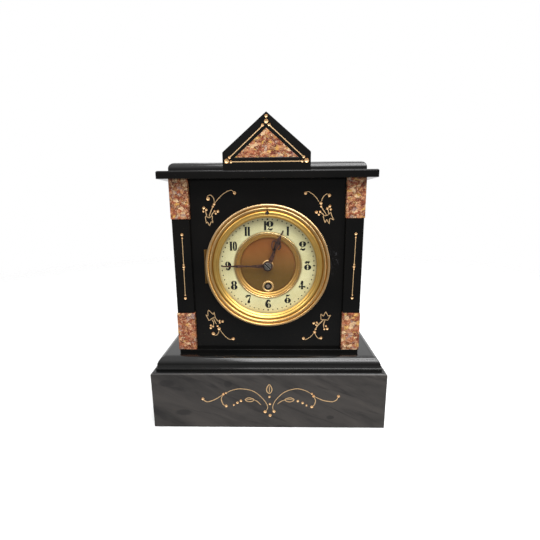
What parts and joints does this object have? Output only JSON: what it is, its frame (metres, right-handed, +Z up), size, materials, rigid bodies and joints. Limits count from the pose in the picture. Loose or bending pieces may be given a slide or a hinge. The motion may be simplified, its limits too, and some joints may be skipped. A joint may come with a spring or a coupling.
{
  "type": "mantel clock",
  "caption": "Slate and marble mantel clock with a hinged glazed bezel, hands, a wound spring movement and a short pendulum",
  "frame": {"origin": "middle of the base's footprint, on the surface that it rests on", "axes": "+X to the right as seen from the dial, +Y from the dial into the case, +Z up"},
  "size_m": [0.24, 0.132, 0.3107],
  "materials": {
    "slate_base": "honed dull slate",
    "slate_gloss": "polished slate",
    "marble": "polished red breccia marble",
    "brass": "polished brass",
    "brass_satin": "brushed brass",
    "brass_aged": "tarnished brass",
    "enamel": "cream glaze",
    "glass": "clear",
    "steel": "polished steel",
    "blued_steel": "blued steel",
    "gilt": "gilded engraving"
  },
  "bodies": {
    "case": {"base_slab": "slate_base", "base_moulding": "slate_gloss", "sub_plinth": "slate_gloss", "front_panel": "slate_gloss", "side_panels": "slate_gloss", "back_panel": "slate_gloss", "pilaster_shafts": "slate_gloss", "marble_lower_left": "marble", "marble_lower_right": "marble", "marble_upper_left": "marble", "marble_upper_right": "marble", "cornice_slab": "slate_gloss", "capping_slab": "slate_gloss", "pediment": "slate_gloss", "pediment_marble": "marble", "case_ring": "brass", "bezel_hinge_pin": "steel", "dial_pan": "brass_satin", "chapter_ring": "enamel", "dial_centre": "brass_aged", "winding_grommet": "brass", "front_plate": "brass_satin", "back_plate": "brass_satin", "plate_pillars": "brass_satin", "pillar_screws": "blued_steel", "click_spring": "blued_steel", "back_cock": "brass_satin", "suspension_block": "brass_satin", "suspension_spring": "steel", "mounting_straps": "steel", "strap_screws": "blued_steel", "rear_ring": "brass", "rear_hinge_pin": "steel"},
    "minute_train": {"centre_wheel": "brass_satin", "cannon_pinion": "steel", "minute_hand": "blued_steel", "hand_screw": "steel"},
    "hour_train": {"hour_wheel": "brass_satin", "hour_hand": "blued_steel"},
    "minute_wheel": {"minute_wheel": "brass_satin"},
    "intermediate": {"intermediate_wheel": "brass_satin"},
    "barrel": {"barrel": "brass_satin", "barrel_cover": "brass_satin", "mainspring": "steel"},
    "third": {"third_wheel": "brass_satin"},
    "escape": {"escape_wheel": "brass_satin"},
    "winding": {"barrel_arbor": "steel", "ratchet_wheel": "steel"},
    "click": {"click": "steel"},
    "pendulum": {"pendulum_rod": "brass_satin"},
    "pallets": {"pallets": "steel", "crutch": "steel"},
    "regulator": {"regulator_arbor": "steel"},
    "regulator_screw": {"regulator_screw": "steel"},
    "slide": {"suspension_slide": "brass_satin"},
    "bob": {"pendulum_bob": "brass_satin"},
    "rating_nut": {"rating_nut": "brass_satin"},
    "bezel": {"bezel": "brass", "bezel_glass": "glass"},
    "rear_door": {"rear_door": "brass"}
  },
  "joints": [
    {"name": "minute_hand_turn", "type": "hinge", "parent": "case", "child": "minute_train", "pos_m": [0, -0.0257, 0.1672], "axis": [0, 1, 0], "continuous": true},
    {"name": "hour_hand_turn", "type": "hinge", "parent": "case", "child": "hour_train", "pos_m": [0, -0.0317, 0.1672], "axis": [0, 1, 0], "continuous": true},
    {"name": "minute_wheel_turn", "type": "hinge", "parent": "case", "child": "minute_wheel", "pos_m": [0.00935, -0.0297, 0.1726], "axis": [0, 1, 0], "continuous": true},
    {"name": "intermediate_turn", "type": "hinge", "parent": "case", "child": "intermediate", "pos_m": [0.01502, -0.0257, 0.15968], "axis": [0, 1, 0], "continuous": true},
    {"name": "barrel_turn", "type": "hinge", "parent": "case", "child": "barrel", "pos_m": [0, -0.0257, 0.145], "axis": [0, 1, 0], "continuous": true},
    {"name": "third_turn", "type": "hinge", "parent": "case", "child": "third", "pos_m": [-0.01053, -0.0257, 0.17853], "axis": [0, 1, 0], "continuous": true},
    {"name": "escape_turn", "type": "hinge", "parent": "case", "child": "escape", "pos_m": [0, -0.0257, 0.1857], "axis": [0, 1, 0], "continuous": true},
    {"name": "winding_turn", "type": "hinge", "parent": "case", "child": "winding", "pos_m": [0, -0.0277, 0.145], "axis": [0, 1, 0], "range_deg": [0, 1800]},
    {"name": "click_lift", "type": "hinge", "parent": "case", "child": "click", "pos_m": [0.00881, -0.0297, 0.15239], "axis": [0, -1, 0], "range_deg": [0, 8], "stiffness_Nm_per_rad": 0.005, "springref_deg": -5.73},
    {"name": "pendulum_swing", "type": "hinge", "parent": "case", "child": "pendulum", "pos_m": [0, 0.0288, 0.2037], "axis": [0, 1, 0], "range_deg": [-4, 4]},
    {"name": "pallet_rock", "type": "hinge", "parent": "case", "child": "pallets", "pos_m": [0, 0.0123, 0.1982], "axis": [0, 1, 0], "range_deg": [-5, 5]},
    {"name": "regulator_turn", "type": "hinge", "parent": "case", "child": "regulator", "pos_m": [0, 0.0123, 0.2205], "axis": [0, 1, 0], "range_deg": [-540, 540]},
    {"name": "regulator_screw_turn", "type": "hinge", "parent": "case", "child": "regulator_screw", "pos_m": [0, 0.023, 0.2097], "axis": [0, 0, 1], "range_deg": [-540, 540]},
    {"name": "slide_travel", "type": "slide", "parent": "case", "child": "slide", "axis": [0, 0, 1], "range_m": [-0.0012, 0.0012]},
    {"name": "bob_travel", "type": "slide", "parent": "pendulum", "child": "bob", "axis": [0, 0, 1], "range_m": [-0.001, 0.001]},
    {"name": "rating_nut_turn", "type": "hinge", "parent": "bob", "child": "rating_nut", "pos_m": [0, 0.0288, 0.0652], "axis": [0, 0, 1], "range_deg": [-720, 720]},
    {"name": "bezel_swing", "type": "hinge", "parent": "case", "child": "bezel", "pos_m": [-0.0634, -0.0431, 0.1672], "axis": [0, 0, -1], "range_deg": [0, 110]},
    {"name": "rear_door_swing", "type": "hinge", "parent": "case", "child": "rear_door", "pos_m": [0.0594, 0.0582, 0.1672], "axis": [0, 0, -1], "range_deg": [0, 110]}
  ],
  "couplings": [
    {"joint": "hour_hand_turn", "follows": "minute_hand_turn", "ratio": 0.083333},
    {"joint": "minute_wheel_turn", "follows": "minute_hand_turn", "ratio": -0.33333},
    {"joint": "intermediate_turn", "follows": "minute_hand_turn", "ratio": -0.16667},
    {"joint": "barrel_turn", "follows": "minute_hand_turn", "ratio": 0.027778},
    {"joint": "third_turn", "follows": "minute_hand_turn", "ratio": -12},
    {"joint": "escape_turn", "follows": "minute_hand_turn", "ratio": 144},
    {"joint": "pallet_rock", "follows": "pendulum_swing", "ratio": 1.234},
    {"joint": "regulator_turn", "follows": "slide_travel", "rad_per_m": 7854},
    {"joint": "regulator_screw_turn", "follows": "slide_travel", "rad_per_m": -7854},
    {"joint": "rating_nut_turn", "follows": "bob_travel", "rad_per_m": 12566}
  ]
}
